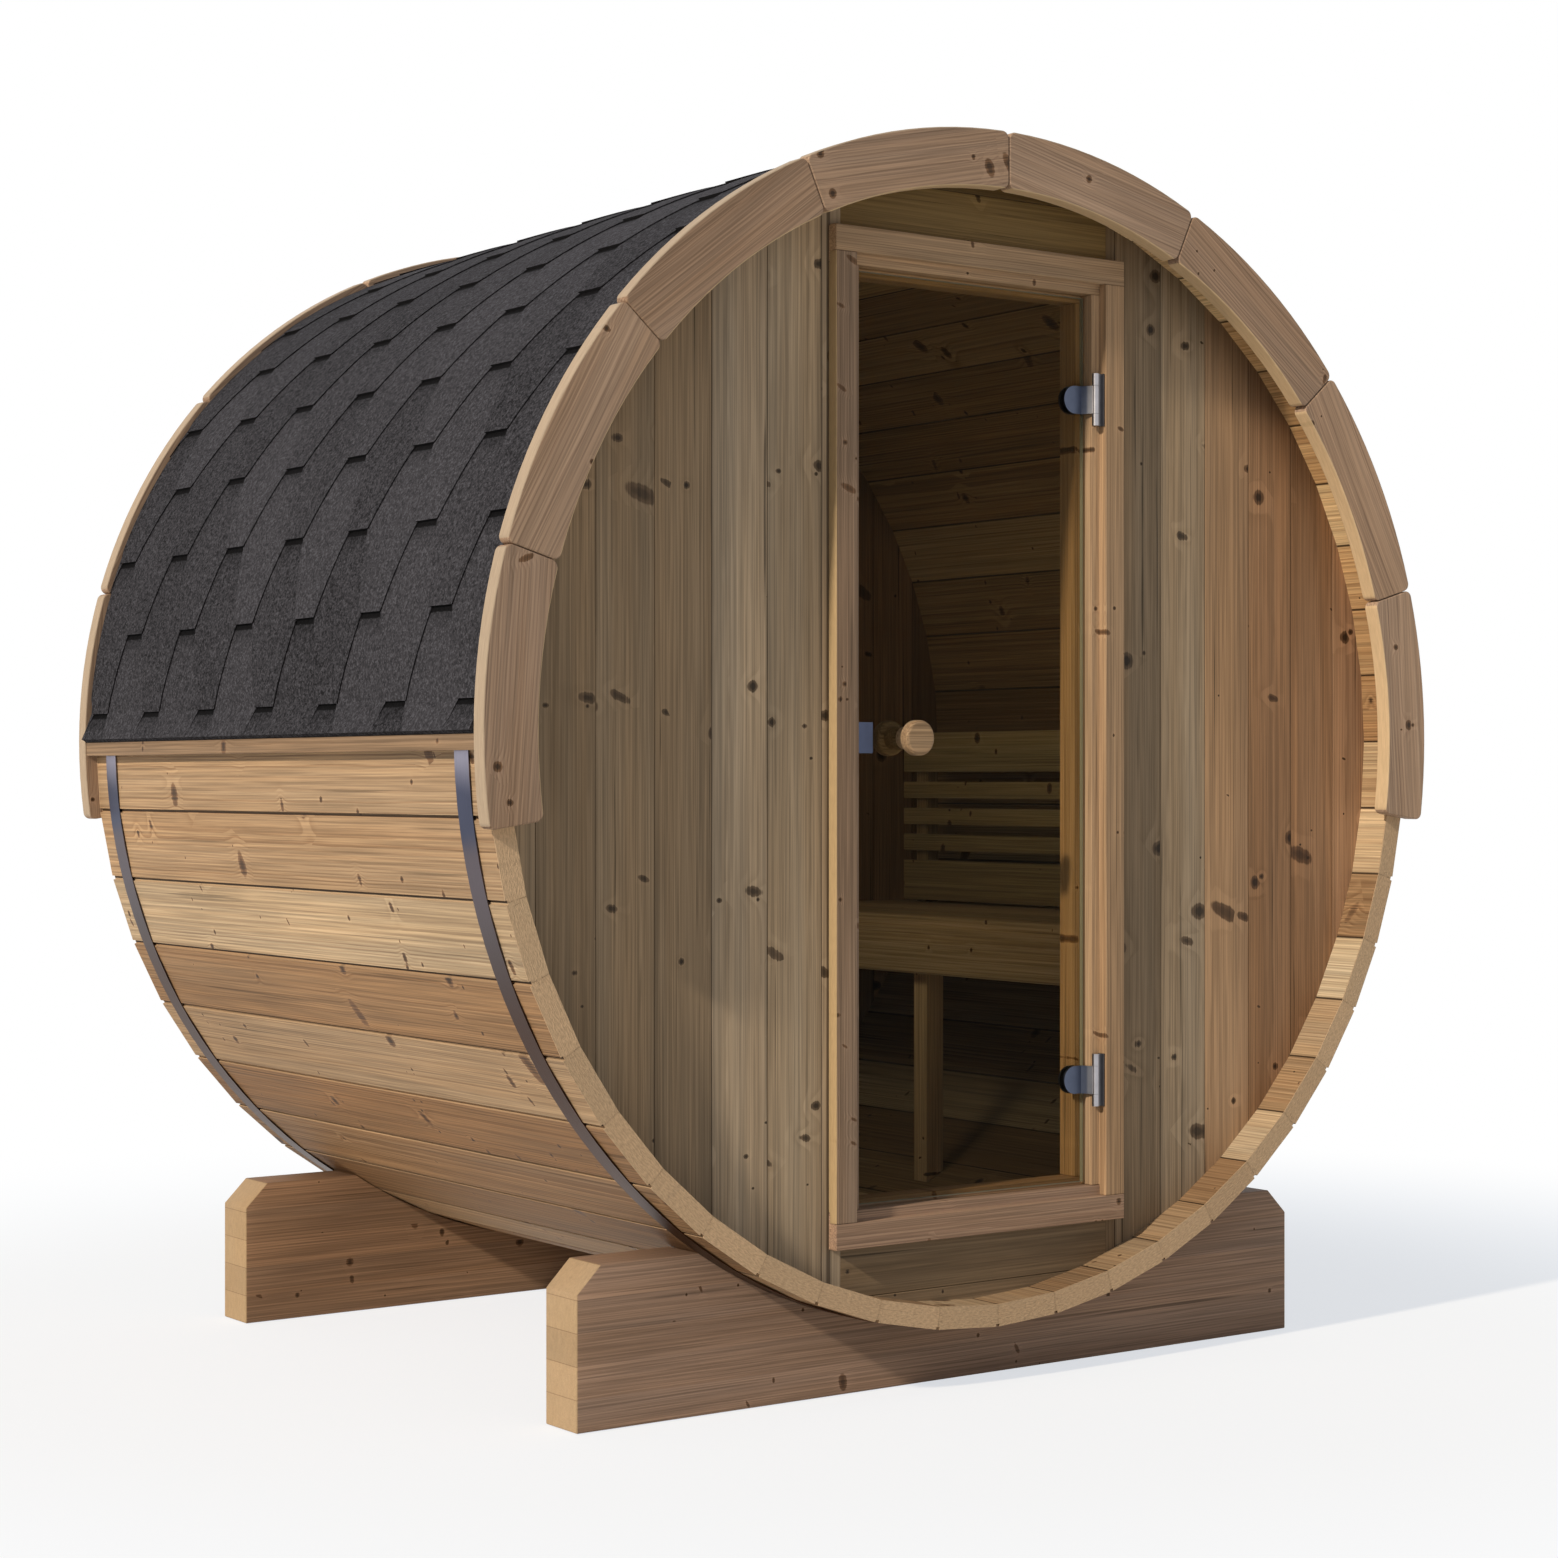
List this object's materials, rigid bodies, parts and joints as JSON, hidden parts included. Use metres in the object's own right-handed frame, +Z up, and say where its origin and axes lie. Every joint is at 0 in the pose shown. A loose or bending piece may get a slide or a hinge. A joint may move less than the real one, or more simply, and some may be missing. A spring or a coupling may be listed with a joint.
{
  "type": "barrel sauna",
  "caption": "Round wooden barrel sauna lying on cradles, with coopered staves, steel hoops, a shingled roof, segmented end trim and a hinged glass door.",
  "frame": {"origin": "on the ground under the middle of the barrel", "axes": "+Z up, -Y out of the door, +X to the right seen from the front"},
  "size_m": [2.0542, 1.5256, 2.1219],
  "materials": {
    "stave_wood": "planed and oiled",
    "trim_wood": "planed and oiled",
    "wall_wood": "planed and oiled",
    "frame_wood": "planed and oiled",
    "cradle_wood": "planed and oiled",
    "inner_wood": "planed",
    "knob_wood": "turned and sanded",
    "hoop_steel": "satin",
    "hinge_metal": "satin",
    "hinge_dark": "satin",
    "roof_shingle": "mineral granules",
    "door_glass": "tinted, polished"
  },
  "bodies": {
    "barrel": {"front_cradle": "cradle_wood", "back_cradle": "cradle_wood", "bottom_staves": "stave_wood", "lower_right_staves": "stave_wood", "right_staves": "stave_wood", "upper_right_staves": "stave_wood", "crown_staves": "stave_wood", "upper_left_staves": "stave_wood", "left_staves": "stave_wood", "lower_left_staves": "stave_wood", "front_hoop": "hoop_steel", "back_hoop": "hoop_steel", "roof_covering": "roof_shingle", "left_eaves_covering": "roof_shingle", "right_eaves_covering": "roof_shingle", "left_eaves_batten": "stave_wood", "right_eaves_batten": "stave_wood", "front_trim_left": "trim_wood", "front_trim_right": "trim_wood", "back_trim_left": "trim_wood", "back_trim_right": "trim_wood", "front_wall_left": "wall_wood", "front_wall_right": "wall_wood", "front_wall_over_door": "wall_wood", "front_wall_under_door": "wall_wood", "back_wall": "wall_wood", "door_post_left": "frame_wood", "door_post_right": "frame_wood", "door_head": "frame_wood", "door_sill": "frame_wood", "hinge_leaves": "hinge_dark", "bench_seat": "inner_wood", "bench_fascia": "inner_wood", "bench_bearers": "inner_wood", "bench_post": "inner_wood", "backrest_slats": "inner_wood", "backrest_uprights": "inner_wood", "floor_boards": "inner_wood", "floor_bearers": "inner_wood"},
    "door": {"door_glass": "door_glass", "hinge_clamps": "hinge_metal", "outer_knob": "knob_wood", "inner_knob": "knob_wood", "catch_plate": "hinge_metal"}
  },
  "joints": [
    {"name": "door_hinge", "type": "hinge", "parent": "barrel", "child": "door", "pos_m": [0.2705, -0.6765, 1.098], "axis": [0, 0, 1], "range_deg": [0, 110]}
  ]
}
